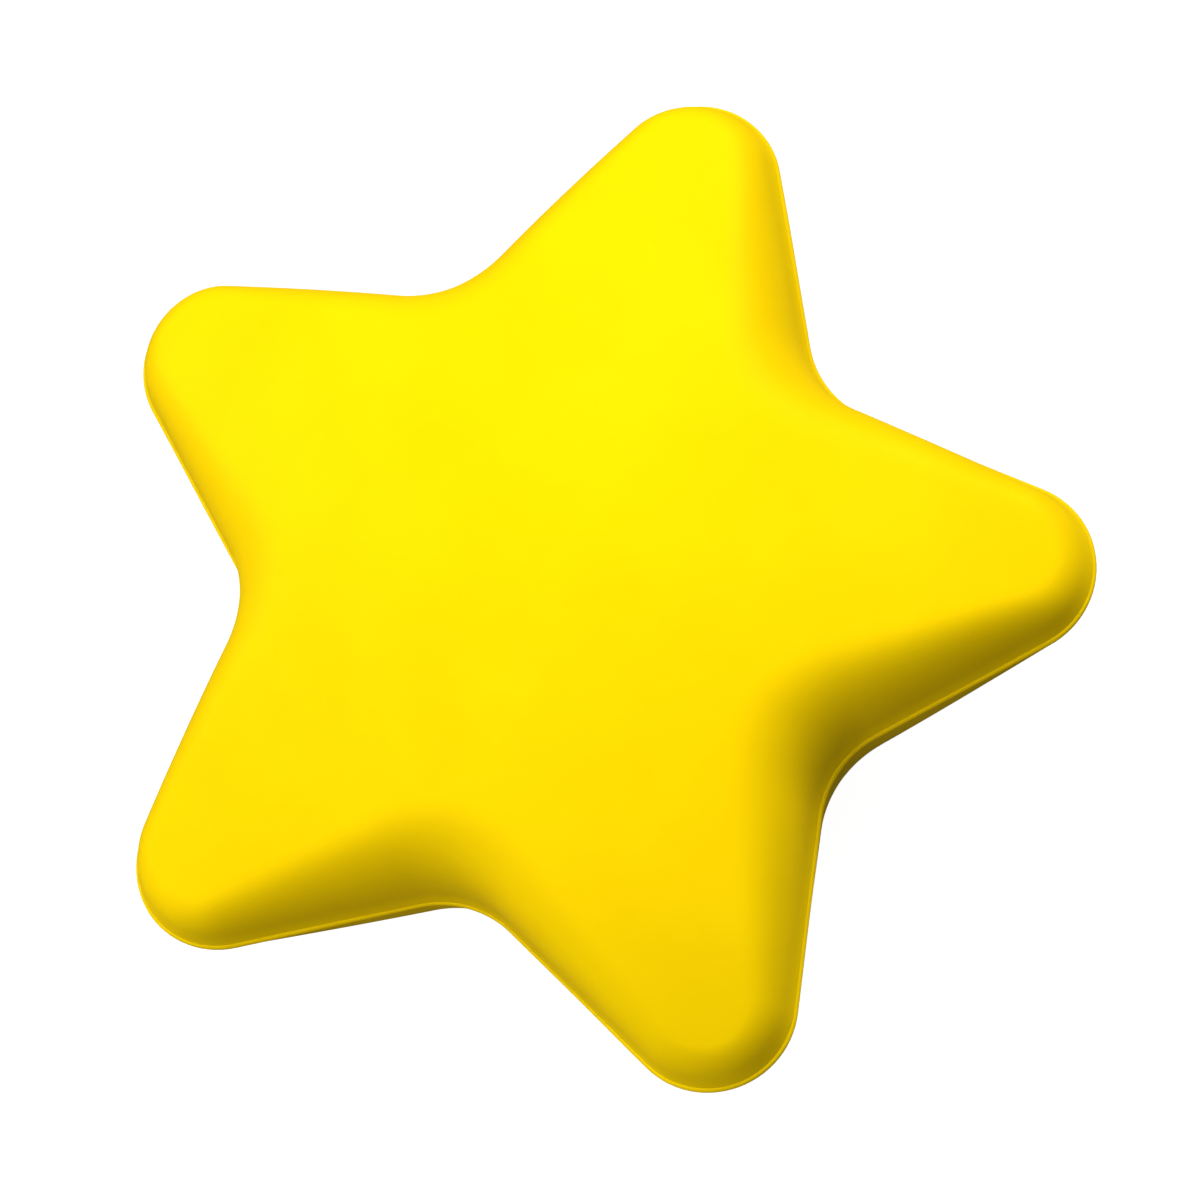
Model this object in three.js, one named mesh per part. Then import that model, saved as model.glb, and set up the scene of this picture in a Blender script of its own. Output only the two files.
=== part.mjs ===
// Star-shaped soft foam stress reliever: a five-pointed cushion moulded in two halves.
// Millimetres, +Z up, resting on z = 0, first arm pointing along +Y.
import * as THREE from 'three';
import { mergeVertices } from 'three/addons/utils/BufferGeometryUtils.js';

// Plan outline: five rounded tips joined to five hollow valleys by straight flanks.
const ARMS = 5;
const TIP_REACH = 41.7;
const TIP_RADIUS = 6.6;
const VALLEY_REACH = 26.1;
const VALLEY_RADIUS = 8.6;

// Each half rises steeply from the parting plane, then rolls over into a domed face.
const RISE = 15.5;
const DOME_RADIUS = 74;
const SWEEP = 2.5;
const FULLNESS = 3;
const EASE = 0.6;
const UPPER = { side: 1, lean: 0.5, tipWidth: 2, valleyWidth: 5.8 };
const LOWER = { side: -1, lean: 0.2, tipWidth: 3, valleyWidth: 4.8 };
const REST_RADIUS = 11;
const REST_TRIM = REST_RADIUS ** 2 / (2 * DOME_RADIUS);
const PARTING_Z = RISE - REST_TRIM;

// Wall build-up and the flash bead left along the parting line.
const SKIN = 1.2;
const CORE_GAP = 0.4;
const RIM_GAP = 0.15;
const BEAD_HALF_HEIGHT = 0.4;
const BEAD_OUT = 0.4;
const BEAD_CREST = 0.5;
const RIM_OFFSET = BEAD_HALF_HEIGHT + RIM_GAP;

// Facet counts.
const TIP_FACETS = 5;
const FLANK_FACETS = 2;
const VALLEY_FACETS = 3;
const OUTER_RINGS = { shoulder: 7, dome: 5 };
const INNER_RINGS = { shoulder: 5, dome: 4 };

const HALF_ARM = Math.PI / ARMS;
const WELD = 1e-4;

// Arc centres and the tangent flank of one half arm, with the arm along +X.
function halfArm(inset) {
  const tipRadius = TIP_RADIUS - inset;
  const valleyRadius = VALLEY_RADIUS + inset;
  const tip = new THREE.Vector2(TIP_REACH - TIP_RADIUS, 0);
  const valley = new THREE.Vector2(Math.cos(HALF_ARM), Math.sin(HALF_ARM))
    .multiplyScalar(VALLEY_REACH + VALLEY_RADIUS);
  const span = valley.clone().sub(tip);
  const turn = span.angle() - Math.acos((tipRadius + valleyRadius) / span.length());
  return { tip, valley, tipRadius, valleyRadius, turn };
}

function polar(radius, angle) {
  return new THREE.Vector2(Math.cos(angle), Math.sin(angle)).multiplyScalar(radius);
}

// Outline points of one half arm, from the tip's middle to the valley's middle.
function halfArmPoints(inset) {
  const arm = halfArm(inset);
  const points = [];
  for (let i = 0; i < TIP_FACETS; i += 1) {
    points.push(polar(arm.tipRadius, (arm.turn * i) / TIP_FACETS).add(arm.tip));
  }
  const flankStart = polar(arm.tipRadius, arm.turn).add(arm.tip);
  const flankEnd = arm.valley.clone().sub(polar(arm.valleyRadius, arm.turn));
  for (let i = 0; i < FLANK_FACETS; i += 1) {
    points.push(flankStart.clone().lerp(flankEnd, i / FLANK_FACETS));
  }
  for (let i = 0; i <= VALLEY_FACETS; i += 1) {
    const angle = THREE.MathUtils.lerp(arm.turn, HALF_ARM, i / VALLEY_FACETS);
    points.push(arm.valley.clone().sub(polar(arm.valleyRadius, angle)));
  }
  return points;
}

// The closed outline, counter-clockwise, moved inward by inset; first arm along +Y.
function outline(inset) {
  const half = halfArmPoints(inset);
  const mirrored = half.slice(1, -1).reverse().map((p) => new THREE.Vector2(p.x, -p.y));
  const arm = [...mirrored, ...half];
  const points = [];
  for (let i = 0; i < ARMS; i += 1) {
    const turn = Math.PI / 2 + 2 * HALF_ARM * i;
    points.push(...arm.map((p) => p.clone().rotateAround(new THREE.Vector2(), turn)));
  }
  return points;
}

// Angle of a plan point from the nearest arm's centre line.
function armAngle(point) {
  const pitch = 2 * HALF_ARM;
  const turned = point.angle() - Math.PI / 2;
  return Math.abs(turned - pitch * Math.round(turned / pitch));
}

// Width of the rolled side at a plan point, eased from tip to valley.
function shoulderWidth(half, point) {
  const reach = outlineRadius(armAngle(point));
  const tipShare = (reach - VALLEY_REACH) / (TIP_REACH - VALLEY_REACH);
  return THREE.MathUtils.lerp(half.valleyWidth, half.tipWidth, Math.max(tipShare, 0) ** EASE);
}

// Share of the face's height reached as the side rolls from upright (0) to level.
function riseShare(turn) {
  return (1 - Math.cos(turn) ** SWEEP) ** (1 / FULLNESS);
}

function domeHeight(point, inset) {
  return RISE - inset - point.lengthSq() / (2 * DOME_RADIUS);
}

// Distance from the centre to the outline at an angle from an arm's centre line.
function outlineRadius(angle) {
  const arm = halfArm(0);
  const ray = polar(1, angle);
  const normal = polar(1, arm.turn);
  const start = arm.tip.clone().addScaledVector(normal, arm.tipRadius);
  const end = arm.valley.clone().addScaledVector(normal, -arm.valleyRadius);
  if (angle < start.angle()) {
    const along = arm.tip.dot(ray);
    return along + Math.sqrt(along ** 2 - arm.tip.lengthSq() + arm.tipRadius ** 2);
  }
  if (angle > end.angle()) {
    const along = arm.valley.dot(ray);
    return along - Math.sqrt(along ** 2 - arm.valley.lengthSq() + arm.valleyRadius ** 2);
  }
  return start.dot(normal) / ray.dot(normal);
}

function onHalf(half, point, height) {
  return new THREE.Vector3(point.x, point.y, PARTING_Z + half.side * height);
}

// Rings of a half's surface from its centre out to its rim, lift off the parting plane.
function faceRings(half, inset, lift, count) {
  const edge = outline(inset);
  const inward = outline(inset + 1);
  const sideRing = (turn) => edge.map((start, i) => {
    const roll = (shoulderWidth(half, start) - inset) * (1 - Math.cos(turn));
    const point = start.clone().lerp(inward[i], roll + half.lean * riseShare(turn));
    return onHalf(half, point, riseShare(turn) * domeHeight(point, inset));
  });
  const domeEdge = sideRing(Math.PI / 2);
  const domeRing = (share) => edge.map((start, i) => {
    const point = start.clone().setLength(REST_RADIUS).lerp(domeEdge[i], share);
    return onHalf(half, point, domeHeight(point, inset));
  });
  const centreHeight = (half === LOWER ? PARTING_Z : RISE) - inset;
  const rings = [edge.map(() => onHalf(half, new THREE.Vector2(), centreHeight))];
  for (let i = 0; i < count.dome; i += 1) {
    rings.push(domeRing(i / count.dome));
  }
  for (let i = count.shoulder; i > 0; i -= 1) {
    rings.push(sideRing((Math.PI / 2) * (i / count.shoulder)));
  }
  rings.push(edge.map((p) => onHalf(half, p, lift)));
  return rings;
}

// A turned surface of revolution whose rings are moved onto the given rings.
function ringSolid(name, rings, color, roughness) {
  const count = rings[0].length;
  const profile = rings.map((_, i) => new THREE.Vector2(1 + i, i));
  const lathe = new THREE.LatheGeometry(profile, count);
  const position = lathe.getAttribute('position');
  for (let segment = 0; segment <= count; segment += 1) {
    for (let row = 0; row < rings.length; row += 1) {
      const p = rings[row][segment % count];
      position.setXYZ(segment * rings.length + row, p.x, p.y, p.z);
    }
  }
  lathe.deleteAttribute('normal');
  lathe.deleteAttribute('uv');
  const welded = withoutSlivers(mergeVertices(lathe, WELD));
  welded.computeVertexNormals();
  const material = new THREE.MeshStandardMaterial({ color, roughness });
  const mesh = new THREE.Mesh(welded, material);
  mesh.name = name;
  return mesh;
}

// Drops the triangles that collapse to a line where rings meet at a point.
function withoutSlivers(geometry) {
  const source = geometry.getIndex().array;
  const kept = [];
  for (let i = 0; i < source.length; i += 3) {
    const [a, b, c] = source.slice(i, i + 3);
    if (a !== b && b !== c && c !== a) {
      kept.push(a, b, c);
    }
  }
  geometry.setIndex(kept);
  return geometry;
}

// A cup of skin: one face from its centre to the rim, then the other back to its centre.
function skin(name, half) {
  const outer = faceRings(half, 0, RIM_OFFSET, OUTER_RINGS);
  const inner = faceRings(half, SKIN, RIM_OFFSET, INNER_RINGS);
  const [first, last] = half === UPPER ? [inner, outer] : [outer, inner];
  return ringSolid(name, [...first, ...last.reverse()], 0xf2e205, 0.55);
}

// The foam filling: one closed cushion inside both skins.
function core(name) {
  const inset = SKIN + CORE_GAP;
  const upper = faceRings(UPPER, inset, 0, INNER_RINGS);
  const lower = faceRings(LOWER, inset, 0, INNER_RINGS);
  const rings = [...lower, ...upper.reverse().slice(1)];
  return ringSolid(name, rings, 0xf5dd6a, 0.9);
}

// The thin ridge of flash around the outline, rooted between the two rims.
function bead(name) {
  const section = [
    [-SKIN, -BEAD_HALF_HEIGHT],
    [0, -BEAD_HALF_HEIGHT],
    [BEAD_OUT, -BEAD_HALF_HEIGHT * BEAD_CREST],
    [BEAD_OUT, BEAD_HALF_HEIGHT * BEAD_CREST],
    [0, BEAD_HALF_HEIGHT],
    [-SKIN, BEAD_HALF_HEIGHT],
    [-SKIN, -BEAD_HALF_HEIGHT],
  ];
  const rings = section.map(([out, rise]) => (
    outline(-out).map((p) => new THREE.Vector3(p.x, p.y, PARTING_Z + rise))
  ));
  return ringSolid(name, rings, 0xe8e02a, 0.6);
}

const star = new THREE.Group();
star.name = 'star_stress_ball';
star.add(
  skin('upper_skin', UPPER),
  skin('lower_skin', LOWER),
  core('foam_core'),
  bead('parting_bead'),
);
export default star;
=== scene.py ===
import math

import bmesh
import bpy
import numpy as np
from mathutils import Matrix, Vector, noise


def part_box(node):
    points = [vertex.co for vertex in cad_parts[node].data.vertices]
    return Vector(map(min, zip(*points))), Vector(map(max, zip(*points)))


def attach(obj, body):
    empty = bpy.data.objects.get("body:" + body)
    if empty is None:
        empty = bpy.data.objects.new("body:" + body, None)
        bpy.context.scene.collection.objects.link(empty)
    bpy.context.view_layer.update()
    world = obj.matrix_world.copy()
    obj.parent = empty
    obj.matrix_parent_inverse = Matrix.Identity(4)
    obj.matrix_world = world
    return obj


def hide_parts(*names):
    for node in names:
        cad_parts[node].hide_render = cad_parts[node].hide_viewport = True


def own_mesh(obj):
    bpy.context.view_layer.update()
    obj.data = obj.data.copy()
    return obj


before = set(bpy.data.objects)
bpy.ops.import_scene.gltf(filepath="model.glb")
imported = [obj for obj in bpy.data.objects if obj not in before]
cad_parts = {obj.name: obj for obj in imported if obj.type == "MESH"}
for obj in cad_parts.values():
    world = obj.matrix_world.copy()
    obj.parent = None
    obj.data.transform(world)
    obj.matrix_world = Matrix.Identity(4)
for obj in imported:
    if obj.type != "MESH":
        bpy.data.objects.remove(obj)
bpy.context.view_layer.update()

# ---- Driving dimensions, in metres, the same as the CAD part's ----
ARMS = 5
TIP_REACH = 0.0417
TIP_RADIUS = 0.0066
VALLEY_REACH = 0.0261
VALLEY_RADIUS = 0.0086
REST_RADIUS = 0.011
DOME_RADIUS = 0.074
SKIN = 0.0012
CORE_GAP = 0.0004
PARTING_Z = sum(corner.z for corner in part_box("parting_bead")) / 2
TOP_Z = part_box("upper_skin")[1].z
RISE = TOP_Z - PARTING_Z
SWEEP = 2.5              # how squarely the side rolls over in plan
FULLNESS = 3.0           # how steeply it rises from the parting line
EASE = 0.6               # how soon the side's width eases from valley to tip
UPPER = {"side": 1, "lean": 0.0005, "tip_width": 0.0020, "valley_width": 0.0058}
LOWER = {"side": -1, "lean": 0.0002, "tip_width": 0.0030, "valley_width": 0.0048}

# ---- Surface detail, in metres ----
FLARE_OUT = 0.00030      # the wall sweeps out to the parting line by this much
FLARE_HEIGHT = 0.0024
BEAD_OUT = 0.00010       # the flash bead's crest, past the flare
BEAD_HALF_HEIGHT = 0.00050
BEAD_ROOT = 0.0006
BEAD_WAVER = 0.00004     # unevenness of the trimmed flash
BEAD_WAVER_SIZE = 0.006
BEAD_LIFT_OFFSET = 0.05  # where in the noise the bead's up-and-down waver is read
SWELL = 0.00012          # slow unevenness of the moulded foam
SWELL_SIZE = 0.022

# ---- Mesh density ----
TIP_STEPS = 14
FLANK_STEPS = 9
VALLEY_STEPS = 10
WALL_RINGS = 26
WALL_CROWDING = 1.5      # crowds the wall's rings towards the parting line
DOME_RINGS = 16
REST_RINGS = 3
CENTRE_SHARE = 1e-4      # size of the last ring, as a share of the rest circle
BEAD_STEPS = 8
WELD = 1e-7

HALF_ARM = math.pi / ARMS


# ---- Star outline ----
def unit(angle):
    return np.array([math.cos(angle), math.sin(angle)])


TIP_CENTRE = np.array([TIP_REACH - TIP_RADIUS, 0.0])
VALLEY_CENTRE = (VALLEY_REACH + VALLEY_RADIUS) * unit(HALF_ARM)
SPAN = VALLEY_CENTRE - TIP_CENTRE
TURN = math.atan2(SPAN[1], SPAN[0]) - math.acos(
    (TIP_RADIUS + VALLEY_RADIUS) / np.linalg.norm(SPAN)
)
FLANK_NORMAL = unit(TURN)
FLANK_START = TIP_CENTRE + TIP_RADIUS * FLANK_NORMAL
FLANK_END = VALLEY_CENTRE - VALLEY_RADIUS * FLANK_NORMAL


def half_arm():
    """Points and outward normals of half an arm, from the tip's middle to the valley's."""
    points, normals = [], []
    for angle in np.linspace(0, TURN, TIP_STEPS, endpoint=False):
        points.append(TIP_CENTRE + TIP_RADIUS * unit(angle))
        normals.append(unit(angle))
    for share in np.linspace(0, 1, FLANK_STEPS, endpoint=False):
        points.append(FLANK_START + (FLANK_END - FLANK_START) * share)
        normals.append(FLANK_NORMAL)
    for angle in np.linspace(TURN, HALF_ARM, VALLEY_STEPS + 1):
        points.append(VALLEY_CENTRE - VALLEY_RADIUS * unit(angle))
        normals.append(unit(angle))
    return np.array(points), np.array(normals)


def whole_outline():
    """The closed outline, counter-clockwise, first arm along +Y, with its outward normals."""
    points, normals = half_arm()
    flip = np.array([1, -1])
    arm = np.vstack([points[1:-1][::-1] * flip, points])
    arm_normals = np.vstack([normals[1:-1][::-1] * flip, normals])
    rows, normal_rows = [], []
    for i in range(ARMS):
        angle = math.pi / 2 + 2 * HALF_ARM * i
        turn = np.column_stack([unit(angle), unit(angle + math.pi / 2)])
        rows.append(arm @ turn.T)
        normal_rows.append(arm_normals @ turn.T)
    return np.vstack(rows), np.vstack(normal_rows)


EDGE, EDGE_NORMAL = whole_outline()


def arm_angle(plan):
    """Angle of plan points from the nearest arm's centre line."""
    pitch = 2 * HALF_ARM
    angle = np.arctan2(plan[:, 1], plan[:, 0]) - math.pi / 2
    return np.abs(angle - pitch * np.round(angle / pitch))


def outline_radius(angle):
    """Distance from the centre to the outline at an angle from an arm's centre line."""
    ray = np.column_stack([np.cos(angle), np.sin(angle)])
    along_tip, along_valley = ray @ TIP_CENTRE, ray @ VALLEY_CENTRE
    tip_root = along_tip**2 - TIP_CENTRE @ TIP_CENTRE + TIP_RADIUS**2
    valley_root = along_valley**2 - VALLEY_CENTRE @ VALLEY_CENTRE + VALLEY_RADIUS**2
    tip = along_tip + np.sqrt(np.maximum(tip_root, 0))
    valley = along_valley - np.sqrt(np.maximum(valley_root, 0))
    flank = (FLANK_START @ FLANK_NORMAL) / (ray @ FLANK_NORMAL)
    start, end = (math.atan2(p[1], p[0]) for p in (FLANK_START, FLANK_END))
    return np.where(angle < start, tip, np.where(angle > end, valley, flank))


# ---- Star surface ----
def shoulder_width(half, plan):
    """Width of the rolled side at each plan point, eased from tip to valley."""
    reach = outline_radius(arm_angle(plan))
    tip_share = (reach - VALLEY_REACH) / (TIP_REACH - VALLEY_REACH)
    share = np.maximum(tip_share, 0) ** EASE
    return half["valley_width"] + (half["tip_width"] - half["valley_width"]) * share


def dome_height(plan, inset):
    return RISE - inset - (plan**2).sum(axis=1) / (2 * DOME_RADIUS)


def face_rings(half, inset):
    """Rings of 3-D points from the parting line to the centre."""
    edge = EDGE - EDGE_NORMAL * inset
    width = (shoulder_width(half, edge) - inset)[:, None]
    rings = []
    for share in np.linspace(0, 1, WALL_RINGS):
        turn = math.pi / 2 * share**WALL_CROWDING
        rise = (1 - math.cos(turn) ** SWEEP) ** (1 / FULLNESS)
        plan = edge - EDGE_NORMAL * (width * (1 - math.cos(turn)) + half["lean"] * rise)
        rings.append((plan, rise * dome_height(plan, inset)))
    shoulder_edge = rings[-1][0]
    rest = edge / np.linalg.norm(edge, axis=1, keepdims=True) * REST_RADIUS
    for share in np.linspace(1, 0, DOME_RINGS + 1)[1:]:
        plan = rest + (shoulder_edge - rest) * share
        rings.append((plan, dome_height(plan, inset)))
    for share in np.linspace(1, 0, REST_RINGS + 1)[1:]:
        plan = rest * max(share, CENTRE_SHARE)
        rings.append((plan, dome_height(plan, inset)))
    flat_height = PARTING_Z - inset if half is LOWER else math.inf
    solid = []
    for plan, height in rings:
        height = np.clip(height, 0, flat_height)
        solid.append(np.column_stack([plan, PARTING_Z + half["side"] * height]))
    return solid


def swollen(rings, half):
    """The rings with the wall's flare at its foot and, on top, the foam's slow swell."""
    result = []
    for i, ring in enumerate(rings):
        height = np.abs(ring[:, 2] - PARTING_Z)
        moved = ring.copy()
        if i < WALL_RINGS:
            foot = np.clip(1 - height / FLARE_HEIGHT, 0, 1) ** 2
            moved[:, :2] += EDGE_NORMAL * (foot * FLARE_OUT)[:, None]
        if half is UPPER:
            swell = np.array([noise.noise(Vector(p) / SWELL_SIZE) for p in ring])
            moved[:, 2] += swell * SWELL * np.clip(height / FLARE_HEIGHT, 0, 1)
        result.append(moved)
    return result


def ring_mesh(name, rings, closed_ends):
    """A smooth mesh lofted through rings of equal count."""
    count = len(rings[0])
    verts = np.vstack(rings)
    faces = []
    for row in range(len(rings) - 1):
        low, high = row * count, (row + 1) * count
        for i in range(count):
            j = (i + 1) % count
            faces.append((low + i, low + j, high + j, high + i))
    if closed_ends:
        faces.append(tuple(range(count))[::-1])
        last = (len(rings) - 1) * count
        faces.append(tuple(range(last, last + count)))
    mesh = bpy.data.meshes.new(name)
    mesh.from_pydata(verts.tolist(), [], faces)
    mesh.validate()
    mesh.update()
    obj = bpy.data.objects.new(name, mesh)
    bpy.context.scene.collection.objects.link(obj)
    for polygon in mesh.polygons:
        polygon.use_smooth = True
    return obj


def skin_piece(name, half):
    """A cup of skin: its outer face and the inner one behind it."""
    outer = swollen(face_rings(half, 0), half)
    inner = face_rings(half, SKIN)
    rings = outer[::-1] + inner
    if half is UPPER:
        rings = rings[::-1]
    return ring_mesh(name, rings, True)


def core_piece(name):
    """The foam filling: one closed cushion inside both skins."""
    upper = face_rings(UPPER, SKIN + CORE_GAP)
    lower = face_rings(LOWER, SKIN + CORE_GAP)
    return ring_mesh(name, lower[::-1] + upper[1:], True)


def bead_piece(name):
    """The flash ridge: a low rounded band around the outline, rooted in the wall."""
    out_waver, lift_waver = (
        np.array([noise.noise(Vector((p[0], p[1], z)) / BEAD_WAVER_SIZE) for p in EDGE])
        for z in (0.0, BEAD_LIFT_OFFSET)
    )
    out = BEAD_OUT + FLARE_OUT + BEAD_WAVER * out_waver
    middle = PARTING_Z + BEAD_WAVER * lift_waver
    rings = []
    for angle in np.linspace(-math.pi / 2, math.pi / 2, BEAD_STEPS + 1):
        plan = EDGE + EDGE_NORMAL * (out * math.cos(angle))[:, None]
        rings.append(np.column_stack([plan, middle + BEAD_HALF_HEIGHT * math.sin(angle)]))
    for side in (1, -1):
        plan = EDGE - EDGE_NORMAL * BEAD_ROOT
        rings.append(np.column_stack([plan, middle + side * BEAD_HALF_HEIGHT]))
    rings.append(rings[0])
    obj = ring_mesh(name, rings, False)
    band = bmesh.new()
    band.from_mesh(obj.data)
    bmesh.ops.remove_doubles(band, verts=band.verts, dist=WELD)
    bmesh.ops.recalc_face_normals(band, faces=band.faces)
    band.to_mesh(obj.data)
    band.free()
    return obj


# ---- Materials: colours are linear, texture scales are features per metre ----
SKIN_DEEP = (0.90, 0.605, 0.0008, 1)
SKIN_BRIGHT = (0.93, 0.635, 0.0012, 1)
SKIN_ROUGHNESS = 0.5
BEAD_DEEP = (0.90, 0.61, 0.002, 1)
BEAD_BRIGHT = (0.93, 0.64, 0.003, 1)
BEAD_ROUGHNESS = 0.55
SHEEN_TINT = (1.0, 0.72, 0.02, 1)
SHEEN_LEVEL = 0.05
MOTTLE_SCALE = 90
MOTTLE_RANGE = (0.35, 0.65)
ROUGHNESS_SPREAD = 0.04
PIT_SCALE = 58
PIT_EDGE = (0.005, 0.011)
# painted shade: the colour the pinholes are darkened to, standing in for the shade inside them
PAINTED_PIT_SHADE = (0.62, 0.55, 0.5, 1)
NO_SHADE = (1, 1, 1, 1)
GRAIN_SCALE = 1400
GRAIN_STRENGTH = 0.12
GRAIN_DEPTH = 0.00008

CELL_SCALE = 1500
CELL_WALL = 0.6
# painted shade: the colour the cells' hollow middles are darkened to
PAINTED_CELL_SHADE = (0.52, 0.40, 0.12, 1)
CELL_LIGHT = (0.88, 0.76, 0.36, 1)
CELL_STRENGTH = 0.5
CELL_DEPTH = 0.0002
MATTE = 0.9

FLOOR_GREY = (0.18, 0.18, 0.18, 1)
FLOOR_GLOW = (1.0, 1.0, 1.0, 1)
FLOOR_GLOW_STRENGTH = 0.96


def node_material(name):
    material = bpy.data.materials.new(name)
    material.use_nodes = True
    nodes = material.node_tree.nodes
    return material, nodes, material.node_tree.links, nodes["Principled BSDF"]


def texture(nodes, links, coords, kind, scale, **settings):
    node = nodes.new(kind)
    links.new(coords, node.inputs["Vector"])
    node.inputs["Scale"].default_value = scale
    for key, value in settings.items():
        node.inputs[key].default_value = value
    return node.outputs


def ramp(nodes, links, source, positions, colors):
    """The colour of a two-stop ramp driven by source."""
    node = nodes.new("ShaderNodeValToRGB")
    links.new(source, node.inputs["Fac"])
    for element, position, color in zip(node.color_ramp.elements, positions, colors):
        element.position = position
        element.color = color
    return node.outputs["Color"]


def map_range(nodes, links, source, **limits):
    """Source mapped from one range to another; a limit that isn't named stays 0 or 1."""
    node = nodes.new("ShaderNodeMapRange")
    links.new(source, node.inputs["Value"])
    for key, value in limits.items():
        node.inputs[key.replace("_", " ").title()].default_value = value
    return node.outputs["Result"]


def multiplied_colors(nodes, links, first, second):
    node = nodes.new("ShaderNodeMix")
    node.data_type = "RGBA"
    node.blend_type = "MULTIPLY"
    node.inputs["Factor"].default_value = 1.0
    colors = [socket for socket in node.inputs if socket.type == "RGBA"]
    links.new(first, colors[0])
    links.new(second, colors[1])
    return next(socket for socket in node.outputs if socket.type == "RGBA")


def add_bump(nodes, links, shader, height, strength, depth):
    node = nodes.new("ShaderNodeBump")
    node.inputs["Strength"].default_value = strength
    node.inputs["Distance"].default_value = depth
    links.new(height, node.inputs["Height"])
    links.new(node.outputs["Normal"], shader.inputs["Normal"])


def foam_skin(name, deep, bright, roughness):
    """Satin foam skin: a faint mottle, scattered pinholes darkened with painted shade, and a
    fine grain.
    """
    material, nodes, links, shader = node_material(name)
    coords = nodes.new("ShaderNodeTexCoord").outputs["Object"]
    mottle = texture(
        nodes, links, coords, "ShaderNodeTexNoise", MOTTLE_SCALE, Detail=3.0, Roughness=0.55
    )["Fac"]
    tone = ramp(nodes, links, mottle, MOTTLE_RANGE, (deep, bright))
    pits = texture(nodes, links, coords, "ShaderNodeTexVoronoi", PIT_SCALE)["Distance"]
    off_pit = map_range(nodes, links, pits, from_min=PIT_EDGE[0], from_max=PIT_EDGE[1])
    # painted shade: the pinholes' colour is darkened where shade would fall inside them
    painted_pit_shade = ramp(nodes, links, off_pit, (0.0, 1.0), (PAINTED_PIT_SHADE, NO_SHADE))
    color = multiplied_colors(nodes, links, tone, painted_pit_shade)
    links.new(color, shader.inputs["Base Color"])
    grain = texture(
        nodes, links, coords, "ShaderNodeTexNoise", GRAIN_SCALE, Detail=2.0, Roughness=0.6
    )["Fac"]
    relief = nodes.new("ShaderNodeMath")
    relief.operation = "MULTIPLY"
    links.new(grain, relief.inputs[0])
    links.new(off_pit, relief.inputs[1])
    add_bump(nodes, links, shader, relief.outputs["Value"], GRAIN_STRENGTH, GRAIN_DEPTH)
    gloss = map_range(
        nodes, links, mottle,
        to_min=roughness - ROUGHNESS_SPREAD, to_max=roughness + ROUGHNESS_SPREAD,
    )
    links.new(gloss, shader.inputs["Roughness"])
    shader.inputs["Specular IOR Level"].default_value = SHEEN_LEVEL
    shader.inputs["Specular Tint"].default_value = SHEEN_TINT
    return material


def open_foam(name):
    """Open-celled foam: matte, with painted shade darkening the small cells between lighter
    walls.
    """
    material, nodes, links, shader = node_material(name)
    coords = nodes.new("ShaderNodeTexCoord").outputs["Object"]
    cells = texture(nodes, links, coords, "ShaderNodeTexVoronoi", CELL_SCALE)["Distance"]
    # painted shade: the cells are darker towards their hollow middles, where shade would fall
    tone = ramp(nodes, links, cells, (0.0, CELL_WALL), (PAINTED_CELL_SHADE, CELL_LIGHT))
    links.new(tone, shader.inputs["Base Color"])
    add_bump(nodes, links, shader, cells, CELL_STRENGTH, CELL_DEPTH)
    shader.inputs["Roughness"].default_value = MATTE
    return material


def floor_material(name):
    """Matte paper with a glow of its own, which keeps the sweep white to its edges."""
    material, _, _, shader = node_material(name)
    shader.inputs["Base Color"].default_value = FLOOR_GREY
    shader.inputs["Roughness"].default_value = MATTE
    shader.inputs["Specular IOR Level"].default_value = 0.0
    shader.inputs["Emission Color"].default_value = FLOOR_GLOW
    shader.inputs["Emission Strength"].default_value = FLOOR_GLOW_STRENGTH
    return material


# ---- Pieces ----
skin_look = foam_skin("foam_skin", SKIN_DEEP, SKIN_BRIGHT, SKIN_ROUGHNESS)
bead_look = foam_skin("flash_bead", BEAD_DEEP, BEAD_BRIGHT, BEAD_ROUGHNESS)
core_look = open_foam("open_foam")

upper = skin_piece("star_upper_skin", UPPER)
lower = skin_piece("star_lower_skin", LOWER)
core = core_piece("star_foam_core")
bead = bead_piece("star_parting_bead")

for piece, body, node, material_slot, look, anchor_z in (
    (upper, "upper_half", "upper_skin", "skin_upper", skin_look, TOP_Z),
    (lower, "lower_half", "lower_skin", "skin_lower", skin_look, 0),
    (core, "lower_half", "foam_core", "core_foam", core_look, 0),
    (bead, "lower_half", "parting_bead", "bead", bead_look, 0),
):
    piece.data.materials.append(look)
    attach(piece, body)
    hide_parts(node)
    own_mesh(piece)

# ---- Floor ----
FLOOR_SIZE = 3.0
FLOOR_DROP = 0.0002      # keeps the floor off the star's flat
bpy.ops.mesh.primitive_plane_add(size=FLOOR_SIZE, location=(0, 0, -FLOOR_DROP))
floor = bpy.context.object
floor.name = "floor"
floor.data.materials.append(floor_material("floor_paint"))
floor.visible_diffuse = False
floor.visible_glossy = False

# ---- Camera: headings are plan directions from the star's centre, from +X ----
CAMERA_TILT = math.radians(17.3)         # off the vertical
CAMERA_HEADING = math.radians(-109.2)
CAMERA_ROLL = math.radians(-36.7)
CAMERA_DISTANCE = 0.353
CAMERA_LENS = 132.6                      # millimetres, on the sensor below
CAMERA_SENSOR = 36.0
CAMERA_NEAR = 0.01
AIM_RIGHT = 0.00254
AIM_DOWN = 0.00052


def direction(heading, tilt):
    """Unit vector at tilt off the vertical, towards a plan heading."""
    return Vector((
        math.sin(tilt) * math.cos(heading),
        math.sin(tilt) * math.sin(heading),
        math.cos(tilt),
    ))


def facing(back, up):
    """Rotation whose local Z is back and whose local Y is as near up as it can be."""
    right = up.cross(back).normalized()
    return Matrix((right, back.cross(right), back)).transposed()


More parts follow.
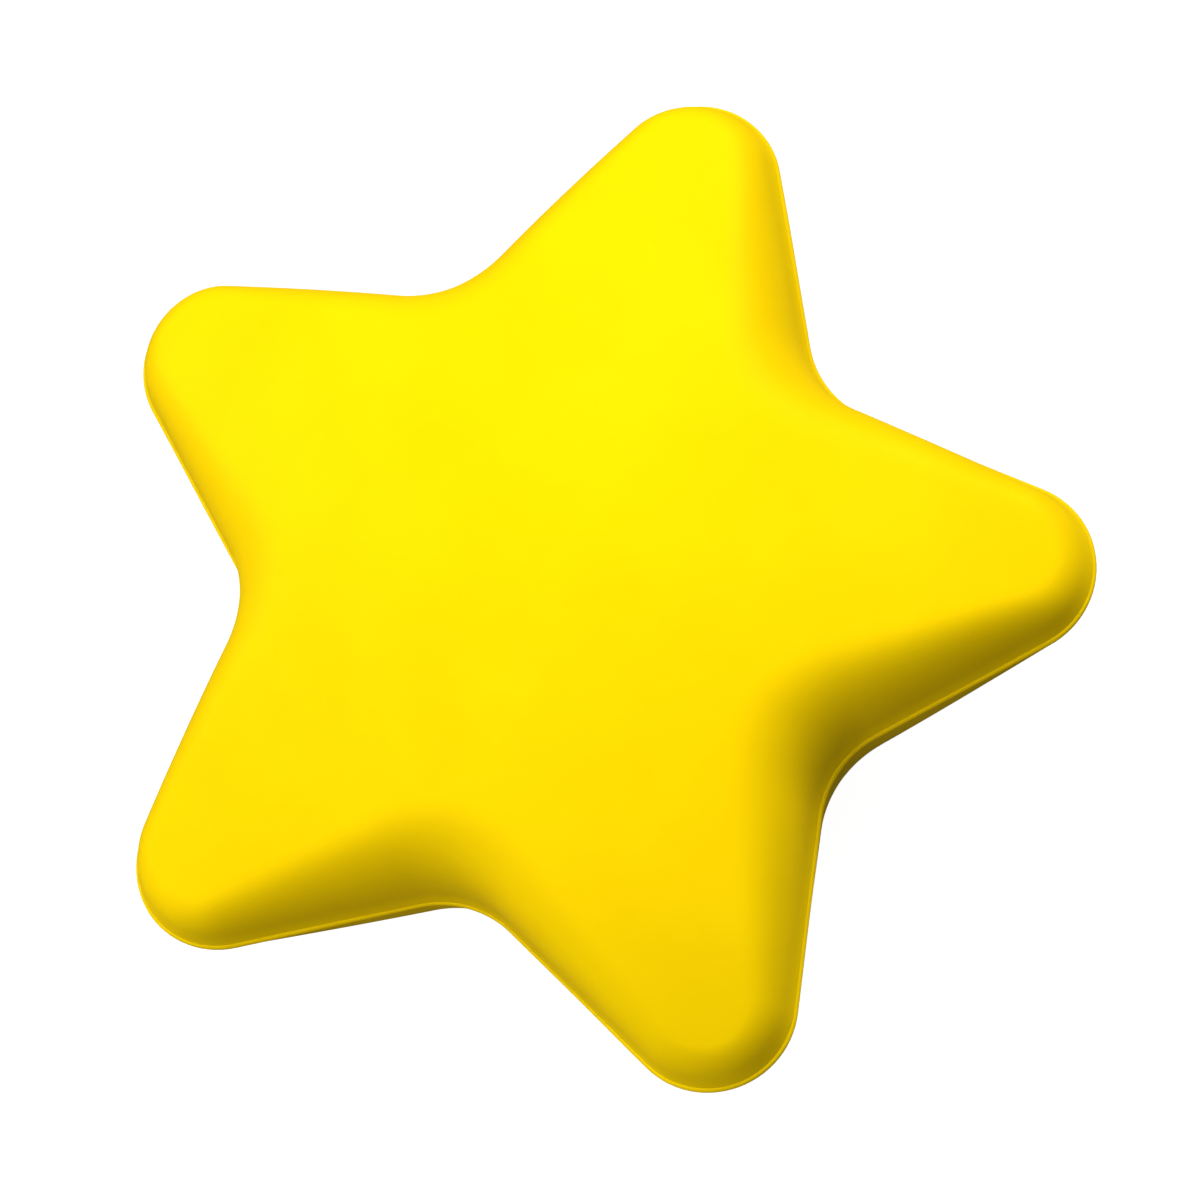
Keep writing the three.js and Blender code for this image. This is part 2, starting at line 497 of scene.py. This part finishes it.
def add_camera():
    back = direction(CAMERA_HEADING, CAMERA_TILT)
    level = facing(back, Vector((0, 0, 1)))
    view = level @ Matrix.Rotation(CAMERA_ROLL, 3, "Z")
    right, up = view.col[0], view.col[1]
    lens = bpy.data.cameras.new("camera")
    lens.lens = CAMERA_LENS
    lens.sensor_width = CAMERA_SENSOR
    lens.clip_start = CAMERA_NEAR
    camera = bpy.data.objects.new("camera", lens)
    camera.matrix_world = view.to_4x4()
    centre = Vector((0, 0, PARTING_Z))
    camera.location = centre + back * CAMERA_DISTANCE + right * AIM_RIGHT - up * AIM_DOWN
    bpy.context.scene.collection.objects.link(camera)
    bpy.context.scene.camera = camera


# ---- Light: round softboxes that face the star, under a dim sky ----
SOFTBOXES = {
    "right_softbox": {"heading": -4, "tilt": 59, "distance": 0.6, "size": 0.42, "watts": 3.45},
    "left_softbox": {"heading": 108, "tilt": 57, "distance": 0.6, "size": 0.42, "watts": 1.6},
    "top_softbox": {"heading": 150, "tilt": 28, "distance": 0.9, "size": 0.6, "watts": 3.4},
    "low_fill": {"heading": -165, "tilt": 48, "distance": 1.5, "size": 1.3, "watts": 4.3},
}
SKY_BAND = (-0.3, 0.5)           # heights on the unit sky over which it brightens
SKY_STRENGTH = (0.05, 0.28)
SKY_COLOR = (1, 1, 1, 1)


def add_softbox(name, box):
    light = bpy.data.lights.new(name, "AREA")
    light.shape = "DISK"
    light.size = box["size"]
    light.energy = box["watts"]
    obj = bpy.data.objects.new(name, light)
    back = direction(math.radians(box["heading"]), math.radians(box["tilt"]))
    obj.matrix_world = facing(back, Vector((0, 1, 0))).to_4x4()
    obj.location = back * box["distance"]
    bpy.context.scene.collection.objects.link(obj)


def add_sky():
    world = bpy.data.worlds.new("studio")
    world.use_nodes = True
    nodes, links = world.node_tree.nodes, world.node_tree.links
    way = nodes.new("ShaderNodeTexCoord").outputs["Generated"]
    split = nodes.new("ShaderNodeSeparateXYZ")
    links.new(way, split.inputs["Vector"])
    strength = map_range(
        nodes, links, split.outputs["Z"],
        from_min=SKY_BAND[0], from_max=SKY_BAND[1],
        to_min=SKY_STRENGTH[0], to_max=SKY_STRENGTH[1],
    )
    links.new(strength, nodes["Background"].inputs["Strength"])
    nodes["Background"].inputs["Color"].default_value = SKY_COLOR
    bpy.context.scene.world = world


add_camera()
for softbox_name, softbox in SOFTBOXES.items():
    add_softbox(softbox_name, softbox)
add_sky()
bpy.context.scene.view_settings.view_transform = "Standard"
